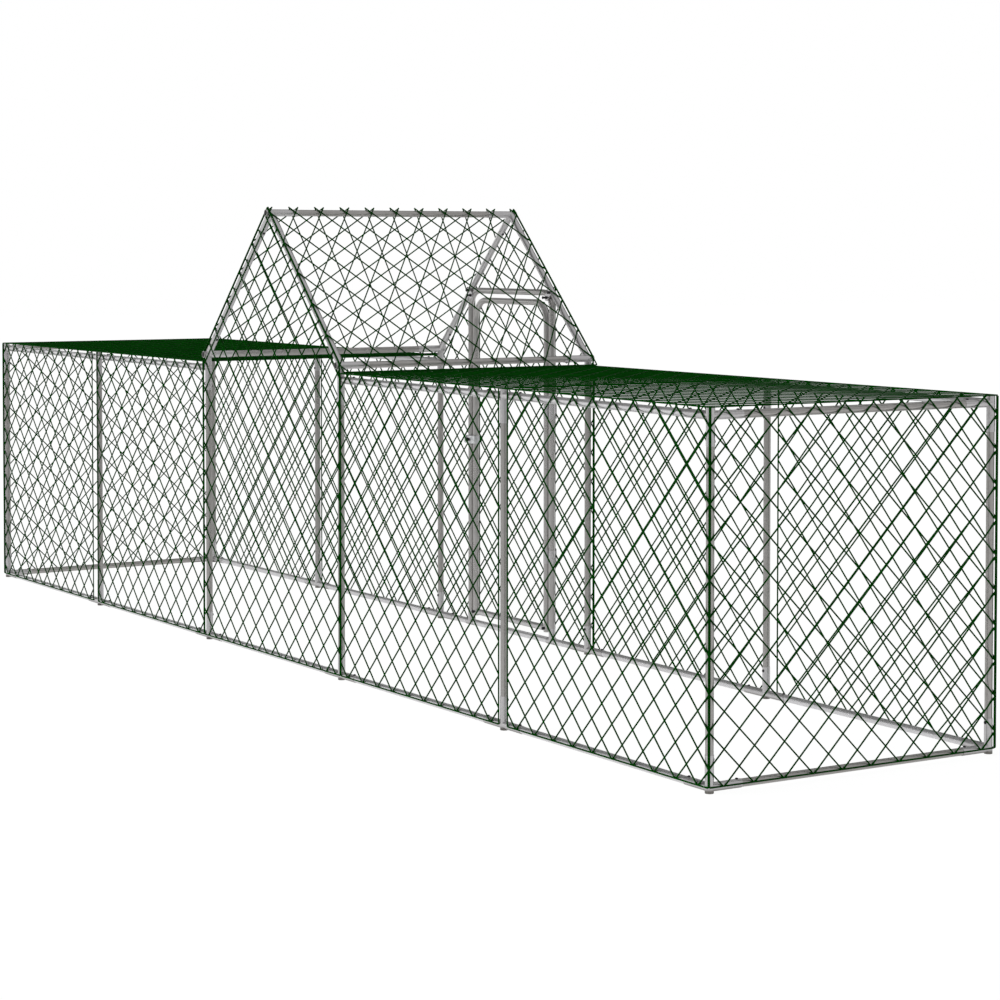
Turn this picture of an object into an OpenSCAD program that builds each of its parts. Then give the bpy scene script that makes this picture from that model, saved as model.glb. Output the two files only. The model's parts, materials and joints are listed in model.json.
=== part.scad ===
/* [Run] */
// Distance between neighbouring post axes along the run
bay = 1000; // [800:10:1200]
// Distance between the post axes of the two long sides
run_width = 964; // [800:2:1200]
// Height of the posts of the two low wings
post_height = 998; // [800:2:1150]
// Distance from a post's top to the top rail's axis
rail_inset = 20; // [14:1:40]
// Height of the ground rails' axes
ground_rail_z = 16; // [13:1:40]

/* [House] */
// Rise of the eave tubes' axes above the wings' posts
eave_lift = 27; // [18:1:250]
// Height of the ridge tube's axis
ridge_height = 1525; // [1450:5:1700]
// Length of eave and ridge tube beyond the rafters' plane
overhang = 20.5; // [18:0.5:40]

/* [Tubes] */
// Outside diameter of posts, rails and roof tubes
tube_d = 22; // [18:0.5:25]
// Wall of every tube
tube_wall = 1.2; // [0.8:0.1:2]
// Length of a fitting's sleeves, from the post's end or axis
sleeve_len = 100; // [80:1:140]
// Wall of a fitting's sleeves
sleeve_wall = 0.9; // [0.7:0.1:2]
// Distance of a screw from the end of its sleeve
screw_edge = 12; // [8:1:20]
// Length of the plastic plugs in open tube ends
plug_len = 14; // [8:1:25]

/* [Nets] */
// Thickness of the net wires
wire_d = 3.6; // [2:0.1:4]
// Diamonds across and up a net that fills one bay
net_cells = 10; // [6:1:12]
// Width of a diamond in the house nets
net_pitch = 100; // [80:1:140]
// Height of the lowest wire above the ground
net_foot = 14.6; // [8:0.2:20]
// Reach of an inner bay's net past the middle post's axis
inner_net_stop = 7; // [2:1:20]
// Start of an outer bay's net beyond the middle post's axis
outer_net_start = 36; // [20:1:60]
// Reach of the slope nets past the rafters' plane
slope_net_reach = 8; // [2:0.5:10]
// Drop from the ridge to the slope nets' first crossings
slope_net_drop = 20; // [0:1:60]
// Drop from the ridge tube's axis to the gable nets' first crossing
gable_drop = 25; // [22:1:30]

/* [Door] */
// Distance between the axes of the door frame's legs
door_width = 550; // [480:2:600]
// Distance between the axes of door frame and leaf
leaf_gap = 35.5; // [33:0.5:45]
// Diameter of the door tubes
door_d = 22; // [16:0.5:25]
// Bend radius of the door frame
door_bend = 60; // [40:1:90]
// Bend radius of the leaf
leaf_bend = 66; // [40:1:90]
// Height of the leaf's bottom rail
leaf_rail_z = 58; // [50:1:90]
// Length of the leaf's legs below that rail
leaf_toe = 14; // [12:1:15]
// Distance of the nets beside the door from the frame's axis
door_net_gap = 5; // [2:0.5:10]
// Length of a door tee along the ground rail
tee_len = 50; // [40:1:80]
// Height of a door tee above the ground rail's axis
tee_height = 45; // [35:1:80]
// Width of the straps that hold the door frame to the rafters
strap_w = 24; // [18:1:40]
// Thickness of these straps
strap_t = 3; // [2:0.5:5]
// Distance between a strap's two screws
strap_span = 26.2; // [25:0.2:60]

/* [Hinges] */
// Height of the lower hinge
hinge_low = 313; // [200:1:500]
// Height of the upper hinge
hinge_high = 827; // [560:1:1000]
// Height of a hinge
hinge_h = 50; // [40:1:80]
// Height of the leaf's knuckle between the frame's two
leaf_knuckle_h = 18; // [12:1:22]
// Distance of the hinge axis outside the door's plane
hinge_out = 25; // [22:0.5:35]
// Diameter of the hinge pins
pin_d = 5; // [4:0.5:10]
// Wall of the hinge knuckles
knuckle_wall = 1.6; // [1.2:0.1:4]
// Thickness of the hinge plates
plate_t = 3; // [2:0.5:6]

/* [Latch] */
// Height of the latch
latch_z = 698; // [400:1:1000]
// Height of the latch's keeper and guide
latch_h = 28; // [24:1:40]
// Reach of the keeper past the frame leg's axis
keeper_out = 7.5; // [6:0.5:50]
// Reach of the keeper towards the leaf
keeper_in = 5; // [3:0.5:6]
// Reach of the guide towards the frame leg
guide_out = 16.5; // [12:0.5:20]
// Reach of the guide past the leaf leg's axis
guide_in = 29.5; // [24:0.5:60]
// Distance of the latch bolt from the door's plane
bolt_in = 20; // [18:1:30]
// Thickness of the latch bolt
bolt_t = 6; // [4:0.5:8]
// Width of the latch bolt
bolt_w = 16; // [10:0.5:18]
// Reach of the drawn bolt towards the frame leg
bolt_tip = 20; // [17:0.5:21]
// Distance of the drawn bolt's knob from the leaf leg's axis
knob_at = 8.5; // [4:0.5:10]
// Diameter of the knob
knob_d = 14; // [10:1:20]
// Length of the knob
knob_len = 12; // [8:1:20]
// Width of the pull on the leaf's outer side
pull_w = 16; // [14:1:24]
// Height of the pull
pull_h = 27; // [22:1:40]
// Thickness of the pull's grip
pull_t = 8; // [5:0.5:15]

/* [Fits] */
// Gap between a tube and the sleeve, ring or plug on it
slip = 0.1; // [0.05:0.05:0.3]
// Gap between pieces that lie on each other
clear = 0.3; // [0.2:0.05:0.6]
// Radial gap between a hinge pin and its knuckles
pin_slip = 0.05; // [0.02:0.01:0.1]
// Gap round the latch bolt
bolt_slip = 0.4; // [0.3:0.1:1]
// Gap between the two layers of wires in a net
layer_gap = 0.05; // [0.02:0.01:0.2]

/* [Hidden] */
$fn = 48;

steel = "#bdbcc2";
fitting_steel = "#d4d3da";
net_green = "#12401a";
dark = "#1d1d20";

// Frame lines
front = -1;
back = 1;
left = -1;
right = 1;
end_x = 2.5 * bay;
mid_x = 1.5 * bay;
house_x = 0.5 * bay;
side_y = run_width / 2;
top_rail_z = post_height - rail_inset;
eave_height = post_height + eave_lift;
slope = atan2(ridge_height - eave_height, house_x);
rafter_len = norm([house_x, ridge_height - eave_height]);

// Tube seats
sleeve_d = tube_d + 2 * (slip + sleeve_wall);
ring_d = door_d + 2 * (slip + sleeve_wall);
trim = tube_d / 2 + clear;
net_seat = max(sleeve_d, ring_d) / 2 + clear;
net_reach = net_seat + wire_d;
foot_gap = 0.5;

// Screws: dome head on the sleeve, shank through sleeve and tube wall
screw_d = 5;
screw_head_d = 9;
screw_head_h = 3;
screw_dome_d = 12.6;
screw_len = 6;
screw_hole_d = screw_d + 4 * slip;

// Door lines: the straps set the frame's height, from the rafters down to its bends
frame_x = door_width / 2;
shoulder = [sin(slope), cos(slope)];
door_height = door_bend + ([house_x - frame_x + door_bend, eave_height] * shoulder
    - door_bend - strap_span) / cos(slope);
leaf_x = frame_x - leaf_gap;
leaf_top = door_height - leaf_gap;
hinge_x = (frame_x + leaf_x) / 2;
hinge_y = side_y + hinge_out;
knuckle_d = pin_d + 2 * (pin_slip + knuckle_wall);
knuckle_gap = 0.4;

// Shape helpers

// Keep the part of a convex outline where n * p <= d
function clip(p, n, d) = [for (i = [0 : len(p) - 1])
    let (a = p[i], b = p[(i + 1) % len(p)], da = d - n * a, db = d - n * b)
    each concat(
        da >= 0 ? [a] : [],
        (da >= 0) != (db >= 0) ? [a + (b - a) * da / (da - db)] : [])];

// Outward normal of one edge of a counter-clockwise outline
function edge_normal(p, i) =
    let (e = p[(i + 1) % len(p)] - p[i]) [e[1], -e[0]] / norm(e);

// Outline moved inwards by the same gap on every edge
function inset(p, gap, i = 0, q = undef) =
    let (n = edge_normal(p, i), cut = clip(q == undef ? p : q, n, n * p[i] - gap))
    i + 1 == len(p) ? cut : inset(p, gap, i + 1, cut);

function area(p) = len(p) < 3 ? 0 : abs(sum([for (i = [0 : len(p) - 1])
    cross(p[i], p[(i + 1) % len(p)])])) / 2;
function sum(v, i = 0) = i == len(v) ? 0 : v[i] + sum(v, i + 1);

function rectangle(x0, y0, x1, y1) = [[x0, y0], [x1, y0], [x1, y1], [x0, y1]];

// One layer of a net: its border and the parallel wires of one direction
module net_layer(outline, inner, pitch, anchor, way) {
    n = [1 / pitch[0], way / pitch[1]] / norm([1 / pitch[0], 1 / pitch[1]]);
    spacing = 1 / norm([1 / pitch[0], 1 / pitch[1]]);
    places = [for (p = outline) n * (p - anchor) / spacing];
    difference() {
        polygon(outline);
        for (k = [floor(min(places)) : ceil(max(places)) - 1]) {
            low = n * anchor + k * spacing + wire_d / 2;
            high = n * anchor + (k + 1) * spacing - wire_d / 2;
            slot = clip(clip(inner, n, high), -n, -low);
            if (area(slot) > wire_d * wire_d) polygon(slot);
        }
    }
}

// A flat net: two crossing layers of wires in one border
module net(outline, pitch, anchor, inner = undef) {
    layer_t = (wire_d - layer_gap) / 2;
    hole = inner == undef ? inset(outline, wire_d) : inner;
    linear_extrude(layer_t) net_layer(outline, hole, pitch, anchor, 1);
    translate([0, 0, wire_d - layer_t])
        linear_extrude(layer_t) net_layer(outline, hole, pitch, anchor, -1);
}

// A net fitted to its rectangle, with whole diamonds from border to border
module bay_net(x0, y0, x1, y1) {
    pitch = [x1 - x0, y1 - y0] / net_cells;
    net(rectangle(x0, y0, x1, y1), pitch, [x0 + pitch[0] / 2, y0]);
}

// Stand a flat shape up on the front or back net plane
module on_side(side) {
    mirror([0, side == back ? 1 : 0, 0])
        translate([0, -side_y - net_seat, 0])
            rotate([90, 0, 0])
                children();
}

module on_wing(wing) {
    mirror([wing == left ? 1 : 0, 0, 0]) children();
}

// Hollow tube along Z
module tube(d, from, to) {
    difference() {
        translate([0, 0, from]) cylinder(d = d, h = to - from);
        translate([0, 0, from - 1]) cylinder(d = d - 2 * tube_wall, h = to - from + 2);
    }
}

// Screw hole from the axis outwards along X
module screw_hole(z, d) {
    translate([0, 0, z]) rotate([0, 90, 0]) cylinder(d = screw_hole_d, h = d);
}

// Tube along Z between two joints, each with a screw hole on its X side
module joined_tube(from, to, hole_from, hole_to) {
    difference() {
        tube(tube_d, from, to);
        screw_hole(hole_from, tube_d);
        screw_hole(hole_to, tube_d);
    }
}

screw_at = sleeve_len - screw_edge;

// Rail or roof tube between two joint axes
module span_tube(span, beyond = -trim) {
    joined_tube(-beyond, span + beyond, screw_at, span - screw_at);
}

// Screw pointing along X, its head on a seat at that distance from the axis
module screw(seat, length) {
    rotate([0, 90, 0]) translate([0, 0, seat]) {
        translate([0, 0, -length]) cylinder(d = screw_d, h = length + screw_head_h / 2);
        intersection() {
            cylinder(d = screw_head_d, h = screw_head_h);
            translate([0, 0, screw_head_h - screw_dome_d / 2]) sphere(d = screw_dome_d);
        }
    }
}

// Fittings
// An arm is [lift of its axis, turn of its Z onto the tube, reach, tail behind the joint]

function post_arm(turn, end) =
    let (inset_z = end == "foot" ? ground_rail_z : rail_inset)
    [0, end == "foot" ? [0, 0, turn] : [180, 0, turn], sleeve_len - inset_z, inset_z - foot_gap];
function rail_arm(turn, lift = 0) = [lift, [180, -90, turn], sleeve_len, 0];
function roof_tube_arm(turn) = [0, [0, 90, turn], sleeve_len, overhang - 1];
function rafter_up_arm(turn) = [0, [0, 90 - slope, turn], sleeve_len, 0];
function rafter_down_arm(turn) = [0, [0, 90 + slope, turn], sleeve_len, 0];
function house_post_arm(turn) = [0, [180, 0, turn], eave_height - post_height + sleeve_len, 0];

module along(arm) {
    translate([0, 0, arm[0]]) rotate(arm[1]) children();
}

module fitting(arms) {
    difference() {
        for (arm = arms) along(arm)
            translate([0, 0, -arm[3]]) cylinder(d = sleeve_d, h = arm[2] + arm[3]);
        for (arm = arms) along(arm) {
            translate([0, 0, -arm[3] - 1]) cylinder(d = tube_d + 2 * slip, h = arm[2] + arm[3] + 2);
            screw_hole(arm[2] - screw_edge, sleeve_d);
        }
    }
}

module fitting_screws(arms) {
    for (arm = arms) along(arm)
        translate([0, 0, arm[2] - screw_edge]) screw(sleeve_d / 2 + slip, screw_len);
}

// Turns that point inwards along and across the run; the posts' screw heads point across it
function along_turn(wing) = wing == left ? 0 : 180;
function across_turn(side) = side == front ? 90 : -90;

function corner_arms(wing, side, end) = [
    post_arm(across_turn(side), end),
    rail_arm(along_turn(wing)),
    rail_arm(across_turn(side))];
function cross_arms(side, end) = [
    post_arm(across_turn(side), end),
    rail_arm(0),
    rail_arm(180)];
function eave_arms(wing, side) = [
    house_post_arm(across_turn(side)),
    rail_arm(wing == left ? 180 : 0, top_rail_z - eave_height),
    rafter_up_arm(along_turn(wing)),
    roof_tube_arm(across_turn(side))];
function ridge_arms(side) = [
    rafter_down_arm(0),
    rafter_down_arm(180),
    roof_tube_arm(across_turn(side))];

function end_z(end) = end == "foot" ? ground_rail_z : top_rail_z;

module at_corners() {
    for (wing = [left, right], side = [front, back], end = ["foot", "top"])
        translate([wing * end_x, side * side_y, end_z(end)]) {
            $arms = corner_arms(wing, side, end);
            children();
        }
}

module at_crossings() {
    for (wing = [left, right], side = [front, back]) {
        for (end = ["foot", "top"]) translate([wing * mid_x, side * side_y, end_z(end)]) {
            $arms = cross_arms(side, end);
            children();
        }
        translate([wing * house_x, side * side_y, end_z("foot")]) {
            $arms = cross_arms(side, "foot");
            children();
        }
    }
}

module at_eaves() {
    for (wing = [left, right], side = [front, back])
        translate([wing * house_x, side * side_y, eave_height]) {
            $arms = eave_arms(wing, side);
            children();
        }
}

module at_ridge_ends() {
    for (side = [front, back]) translate([0, side * side_y, ridge_height]) {
        $arms = ridge_arms(side);
        children();
    }
}

module corner_fittings() { color(fitting_steel) at_corners() fitting($arms); }
module cross_fittings() { color(fitting_steel) at_crossings() fitting($arms); }
module eave_fittings() { color(fitting_steel) at_eaves() fitting($arms); }
module ridge_fittings() { color(fitting_steel) at_ridge_ends() fitting($arms); }

module frame_screws() {
    color(dark) {
        at_corners() fitting_screws($arms);
        at_crossings() fitting_screws($arms);
        at_eaves() fitting_screws($arms);
        at_ridge_ends() fitting_screws($arms);
        strap_screws();
    }
}

module plug() {
    translate([0, 0, -plug_len]) cylinder(d = tube_d - 2 * tube_wall - 2 * slip, h = plug_len);
}

module tube_plugs() {
    color(dark) {
        for (x = [-end_x, -mid_x, mid_x, end_x], side = [front, back])
            translate([x, side * side_y, post_height]) plug();
        roof_tubes = [[-house_x, eave_height], [house_x, eave_height], [0, ridge_height]];
        for (axis = roof_tubes, side = [front, back])
            translate([axis[0], side * (side_y + overhang), axis[1]]) rotate([-side * 90, 0, 0]) plug();
    }
}

// Posts

module post(x, side, top) {
    color(steel) translate([x, side * side_y, 0]) rotate([0, 0, across_turn(side)])
        joined_tube(0, top, screw_at, post_height - screw_at);
}

module end_post(wing, side) { post(wing * end_x, side, post_height); }
module mid_post(wing, side) { post(wing * mid_x, side, post_height); }
module house_post(wing, side) { post(wing * house_x, side, eave_height - trim); }

module post_left_end_front() { end_post(left, front); }
module post_left_end_back() { end_post(left, back); }
module post_left_mid_front() { mid_post(left, front); }
module post_left_mid_back() { mid_post(left, back); }
module post_left_house_front() { house_post(left, front); }
module post_left_house_back() { house_post(left, back); }
module post_right_house_front() { house_post(right, front); }
module post_right_house_back() { house_post(right, back); }
module post_right_mid_front() { mid_post(right, front); }
module post_right_mid_back() { mid_post(right, back); }
module post_right_end_front() { end_post(right, front); }
module post_right_end_back() { end_post(right, back); }

// Rails

module rails(first_x, count, side, z) {
    color(steel) for (i = [0 : count - 1])
        translate([first_x + i * bay, side * side_y, z]) rotate([180, -90, 0]) span_tube(bay);
}

module end_rails(z) {
    color(steel) for (x = [-end_x, end_x])
        translate([x, -side_y, z]) rotate([180, -90, 90]) span_tube(run_width);
}

module ground_rails_front() { rails(-end_x, 5, front, ground_rail_z); }
module ground_rails_back() { rails(-end_x, 5, back, ground_rail_z); }
module ground_rails_ends() { end_rails(ground_rail_z); }
module top_rails_left_front() { rails(-end_x, 2, front, top_rail_z); }
module top_rails_left_back() { rails(-end_x, 2, back, top_rail_z); }
module top_rails_right_front() { rails(house_x, 2, front, top_rail_z); }
module top_rails_right_back() { rails(house_x, 2, back, top_rail_z); }
module top_rails_ends() { end_rails(top_rail_z); }

// House roof

module rafters(side) {
    color(steel) for (wing = [left, right])
        translate([wing * house_x, side * side_y, eave_height])
            rotate([0, 90 - slope, along_turn(wing)]) span_tube(rafter_len);
}

module roof_tube(x, z) {
    color(steel) translate([x, -side_y, z]) rotate([0, 90, 90]) span_tube(run_width, overhang);
}

module rafters_front() { rafters(front); }
module rafters_back() {
    difference() {
        rafters(back);
        strap_hole(strap_span);
    }
}
module eave_tube_left() { roof_tube(-house_x, eave_height); }
module eave_tube_right() { roof_tube(house_x, eave_height); }
module ridge_tube() { roof_tube(0, ridge_height); }

// Wing nets

inner_net_x = house_x + net_reach + 1;

module wing_side_nets(wing, side) {
    color(net_green) on_wing(wing) on_side(side) {
        bay_net(inner_net_x, net_foot, mid_x - inner_net_stop, post_height);
        bay_net(mid_x + outer_net_start, net_foot, end_x + net_reach, post_height);
    }
}

module wing_roof_nets(wing) {
    half = side_y + net_reach;
    color(net_green) on_wing(wing) translate([0, 0, post_height + clear]) {
        bay_net(inner_net_x, -half, mid_x - clear, half);
        bay_net(mid_x + clear, -half, end_x + net_reach, half);
    }
}

module end_net(wing) {
    half = side_y + net_seat - clear;
    color(net_green) on_wing(wing)
        translate([end_x + net_seat, 0, 0]) rotate([90, 0, 90]) bay_net(-half, net_foot, half, post_height);
}

module net_left_end() { end_net(left); }
module net_right_end() { end_net(right); }
module nets_left_front() { wing_side_nets(left, front); }
module nets_left_back() { wing_side_nets(left, back); }
module nets_left_roof() { wing_roof_nets(left); }
module nets_right_front() { wing_side_nets(right, front); }
module nets_right_back() { wing_side_nets(right, back); }
module nets_right_roof() { wing_roof_nets(right); }

// House nets

// Gable outline, net_reach outside the posts' and rafters' axes
rise = (ridge_height - eave_height) / house_x;
gable_apex = ridge_height + net_reach / cos(slope);
gable_x = house_x + net_reach;
gable = [
    [-gable_x, net_foot], [gable_x, net_foot],
    [gable_x, gable_apex - gable_x * rise], [0, gable_apex], [-gable_x, gable_apex - gable_x * rise]];
gable_pitch = [net_pitch, net_pitch * rise];
gable_anchor = [0, ridge_height - gable_drop];
door_net_x = frame_x + door_net_gap;
door_net_z = door_height + door_net_gap;

module gable_net(outline, side) {
    color(net_green) on_side(side) net(outline, gable_pitch, gable_anchor);
}

module net_house_front() { gable_net(gable, front); }
module net_door_side_left() { gable_net(clip(gable, [1, 0], -door_net_x), back); }
module net_door_side_right() { gable_net(clip(gable, [-1, 0], -door_net_x), back); }
module net_door_head() {
    between = clip(clip(gable, [1, 0], door_net_x - clear), [-1, 0], door_net_x - clear);
    gable_net(clip(between, [0, -1], -door_net_z), back);
}

// Slope net, laid out across the run and up the slope, with its wires free at the ridge
module slope_net(wing) {
    half = side_y + slope_net_reach;
    top = net_seat * tan(slope) - clear;
    roof_top = post_height + clear + wire_d;
    foot = -(ridge_height + net_seat * cos(slope) - roof_top - clear) / sin(slope);
    outline = rectangle(-half, foot, half, top);
    inner = rectangle(wire_d - half, foot + wire_d, half - wire_d, top + 1);
    anchor = [0, net_seat * tan(slope) - slope_net_drop];
    color(net_green) on_wing(wing) translate([0, 0, ridge_height]) rotate([0, slope, 0])
        translate([0, 0, net_seat]) rotate([0, 0, 90])
            net(outline, [net_pitch, net_pitch / cos(slope)], anchor, inner);
}

module net_slope_left() { slope_net(left); }
module net_slope_right() { slope_net(right); }

// Door frame and leaf

// Bent rod of two legs, two bends and a top, in the XZ plane
module arch(x, foot_z, top_z, bend, d) {
    for (wing = [left, right]) {
        translate([wing * x, 0, foot_z]) cylinder(d = d, h = top_z - bend - foot_z);
        translate([wing * (x - bend), 0, top_z - bend]) rotate([90, 0, 0])
            rotate([0, 0, wing == left ? 90 : 0])
                rotate_extrude(angle = 90) translate([bend, 0]) circle(d = d);
    }
    translate([bend - x, 0, top_z]) rotate([0, 90, 0]) cylinder(d = d, h = 2 * (x - bend));
}

module arch_tube(x, foot_z, top_z, bend) {
    difference() {
        arch(x, foot_z, top_z, bend, door_d);
        arch(x, foot_z - 1, top_z, bend, door_d - 2 * tube_wall);
    }
}

// Straps between the door frame's bends and the rafters, square to the rafters
strap_foot = [frame_x - door_bend, door_height - door_bend] + door_bend * shoulder;
strap_seat = max(tube_d, door_d) / 2 + clear;

module at_strap(wing, along_strap) {
    on_wing(wing) translate([strap_foot[0], side_y, strap_foot[1]]) rotate([0, slope, 0])
        translate([0, 0, along_strap]) rotate([0, 0, -90]) children();
}

module strap_hole(along_strap) {
    for (wing = [left, right]) at_strap(wing, along_strap) screw_hole(0, tube_d);
}

module strap_plate() {
    translate([strap_seat, -strap_w / 2, 0]) cube([strap_t, strap_w, strap_span]);
    for (z = [0, strap_span])
        translate([strap_seat, 0, z]) rotate([0, 90, 0]) cylinder(d = strap_w, h = strap_t);
}

module door_straps() {
    color(fitting_steel) for (wing = [left, right]) at_strap(wing, 0) difference() {
        strap_plate();
        screw_hole(0, 2 * tube_d);
        screw_hole(strap_span, 2 * tube_d);
    }
}

module strap_screws() {
    for (wing = [left, right], z = [0, strap_span])
        at_strap(wing, z) screw(strap_seat + strap_t + slip, screw_len);
}

module door_frame() {
    color(steel) difference() {
        translate([0, side_y, 0]) arch_tube(frame_x, ground_rail_z + trim, door_height, door_bend);
        strap_hole(0);
    }
}

// Tee on the ground rail that holds a leg of the door frame
module door_tee(x) {
    translate([x, side_y, ground_rail_z]) difference() {
        union() {
            rotate([0, 90, 0]) cylinder(d = sleeve_d, h = tee_len, center = true);
            cylinder(d = ring_d, h = tee_height);
        }
        rotate([0, 90, 0]) cylinder(d = tube_d + 2 * slip, h = tee_len + 2, center = true);
        cylinder(d = door_d + 2 * slip, h = tee_height + 1);
    }
}

module door_tees() {
    color(fitting_steel) for (wing = [left, right]) door_tee(wing * frame_x);
}

// Screws through the leaf's legs into the plugged ends of its rail
leaf_screw_len = door_d + clear + plug_len - 2;

module at_leaf_screws() {
    for (wing = [left, right]) translate([wing * leaf_x, side_y, leaf_rail_z])
        rotate([0, 0, wing == left ? 180 : 0]) children();
}

module leaf_screw_holes() {
    at_leaf_screws() rotate([0, 90, 0])
        cylinder(d = screw_hole_d, h = 2 * (leaf_screw_len + 1), center = true);
}

module leaf_frame() {
    color(steel) difference() {
        translate([0, side_y, 0]) arch_tube(leaf_x, leaf_rail_z - leaf_toe, leaf_top, leaf_bend);
        leaf_screw_holes();
    }
}

module leaf_rail() {
    bore = leaf_x - door_d / 2 - plug_len;
    color(steel) difference() {
        translate([0, side_y, leaf_rail_z]) rotate([0, 90, 0]) difference() {
            cylinder(d = door_d, h = 2 * leaf_x, center = true);
            cylinder(d = door_d - 2 * tube_wall, h = 2 * bore, center = true);
        }
        for (wing = [left, right]) translate([wing * leaf_x, side_y, leaf_rail_z - door_d])
            cylinder(d = door_d + 2 * clear, h = 2 * door_d);
        leaf_screw_holes();
    }
}

module leaf_screws() {
    color(dark) at_leaf_screws() screw(door_d / 2 + slip, leaf_screw_len);
}

// Leaf net, with its corners cut along the bends
module net_door_leaf() {
    edge = wire_d / 2;
    cut = leaf_bend * (2 - sqrt(2));
    box = rectangle(-leaf_x - edge, leaf_rail_z - edge, leaf_x + edge, leaf_top + edge);
    corner = (leaf_x + leaf_top + 2 * edge - cut) / sqrt(2);
    outline = clip(clip(box, [1, 1] / sqrt(2), corner), [-1, 1] / sqrt(2), corner);
    color(net_green) on_side(back) net(outline, gable_pitch, [0, leaf_rail_z]);
}

// Hinges

function hinge_slots(leaf) = leaf ?
    [[-leaf_knuckle_h / 2, leaf_knuckle_h / 2]] :
    [[-hinge_h / 2, -leaf_knuckle_h / 2 - knuckle_gap], [leaf_knuckle_h / 2 + knuckle_gap, hinge_h / 2]];

module hinge_straps(leg_x, leaf) {
    arm = [hinge_x - leg_x, hinge_out];
    color(dark) for (z = [hinge_low, hinge_high]) translate([0, 0, z]) difference() {
        union() {
            translate([leg_x, side_y, -hinge_h / 2]) cylinder(d = ring_d, h = hinge_h);
            for (slot = hinge_slots(leaf)) translate([0, 0, slot[0]]) {
                translate([leg_x, side_y, 0]) rotate([0, 0, atan2(arm[1], arm[0])])
                    translate([0, -plate_t / 2, 0]) cube([norm(arm), plate_t, slot[1] - slot[0]]);
                translate([hinge_x, hinge_y, 0]) cylinder(d = knuckle_d, h = slot[1] - slot[0]);
            }
        }
        translate([leg_x, side_y, -hinge_h]) cylinder(d = door_d + 2 * slip, h = 2 * hinge_h);
        translate([hinge_x, hinge_y, -hinge_h]) cylinder(d = pin_d + 2 * pin_slip, h = 2 * hinge_h);
    }
}

module hinge_frame_straps() { hinge_straps(frame_x, false); }
module hinge_leaf_straps() { hinge_straps(leaf_x, true); }

module hinge_pins() {
    head_h = 3;
    color(dark) for (z = [hinge_low, hinge_high]) translate([hinge_x, hinge_y, z]) {
        translate([0, 0, -hinge_h / 2]) cylinder(d = pin_d, h = hinge_h + slip + head_h);
        translate([0, 0, hinge_h / 2 + slip]) cylinder(d = knuckle_d - 1, h = head_h);
    }
}

// Latch

latch_wall = 4;
latch_y = side_y - bolt_in;
latch_low_y = latch_y - bolt_t / 2 - bolt_slip - latch_wall;
bolt_stop = 1.5;
keeper_end = -frame_x - keeper_out;
bolt_start = -leaf_x - bolt_tip;
bolt_travel = bolt_start - keeper_end - latch_wall - bolt_stop;
stem_d = 7;
stud_d = 4;

// Ring round a leg with a block for the bolt on its inner side
module latch_block(leg_x, x0, x1) {
    difference() {
        union() {
            translate([leg_x, side_y, -latch_h / 2]) cylinder(d = ring_d, h = latch_h);
            translate([x0, latch_low_y, -latch_h / 2])
                cube([x1 - x0, side_y - door_d / 2 - latch_low_y, latch_h]);
        }
        translate([leg_x, side_y, -latch_h]) cylinder(d = door_d + 2 * slip, h = 2 * latch_h);
    }
}

module bolt_slot(x0, x1) {
    t = bolt_t + 2 * bolt_slip;
    w = bolt_w + 2 * bolt_slip;
    translate([x0, latch_y - t / 2, -w / 2]) cube([x1 - x0, t, w]);
}

module latch_keeper() {
    mouth = -frame_x + keeper_in;
    color(fitting_steel) translate([0, 0, latch_z]) difference() {
        latch_block(-frame_x, keeper_end, mouth);
        bolt_slot(keeper_end + latch_wall, mouth + 1);
    }
}

knob_x = -leaf_x - knob_at;

module latch_guide() {
    start = -leaf_x - guide_out;
    end = -leaf_x + guide_in;
    window = stem_d + 2 * bolt_slip;
    color(fitting_steel) translate([0, 0, latch_z]) difference() {
        latch_block(-leaf_x, start, end);
        bolt_slot(start - 1, end + 1);
        for (x = [knob_x - bolt_travel, knob_x]) translate([x, latch_y, 0]) rotate([90, 0, 0])
            cylinder(d = window, h = bolt_in);
        translate([knob_x - bolt_travel, latch_y - bolt_in, -window / 2])
            cube([bolt_travel, bolt_in, window]);
    }
}

module latch_bolt() {
    color(steel) translate([0, 0, latch_z]) difference() {
        translate([bolt_start, latch_y - bolt_t / 2, -bolt_w / 2])
            cube([guide_in + bolt_tip, bolt_t, bolt_w]);
        translate([knob_x, latch_y, 0]) rotate([90, 0, 0]) cylinder(d = stud_d + 2 * slip, h = bolt_t);
    }
}

module latch_knob() {
    seat = bolt_t / 2 + slip;
    stem_end = latch_y - latch_low_y + clear;
    flare = 4;
    color(dark) translate([knob_x, latch_y, latch_z]) rotate([90, 0, 0]) {
        translate([0, 0, slip]) cylinder(d = stud_d, h = seat);
        translate([0, 0, seat]) cylinder(d = stem_d, h = stem_end - seat);
        translate([0, 0, stem_end]) cylinder(d1 = stem_d, d2 = knob_d, h = flare);
        translate([0, 0, stem_end + flare]) cylinder(d = knob_d, h = knob_len - flare);
    }
}

// Pull outside the leaf's net, its foot beside the net's border on the guide's ring
module door_pull() {
    grip_y = side_y + net_reach + clear;
    grip_h = pull_h - pull_w;
    foot_x = -leaf_x - wire_d / 2 - clear;
    foot_w = pull_w / 2;
    color(dark) translate([0, 0, latch_z]) difference() {
        union() {
            translate([knob_x - pull_w / 2, grip_y, -grip_h / 2]) cube([pull_w, pull_t, grip_h]);
            for (z = [-grip_h / 2, grip_h / 2]) translate([knob_x, grip_y + pull_t, z]) rotate([90, 0, 0])
                cylinder(d = pull_w, h = pull_t);
            translate([foot_x - foot_w, side_y, -grip_h / 2])
                cube([foot_w, grip_y + pull_t / 2 - side_y, grip_h]);
        }
        translate([-leaf_x, side_y, -pull_h]) cylinder(d = ring_d + 2 * slip, h = 2 * pull_h);
    }
}

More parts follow.
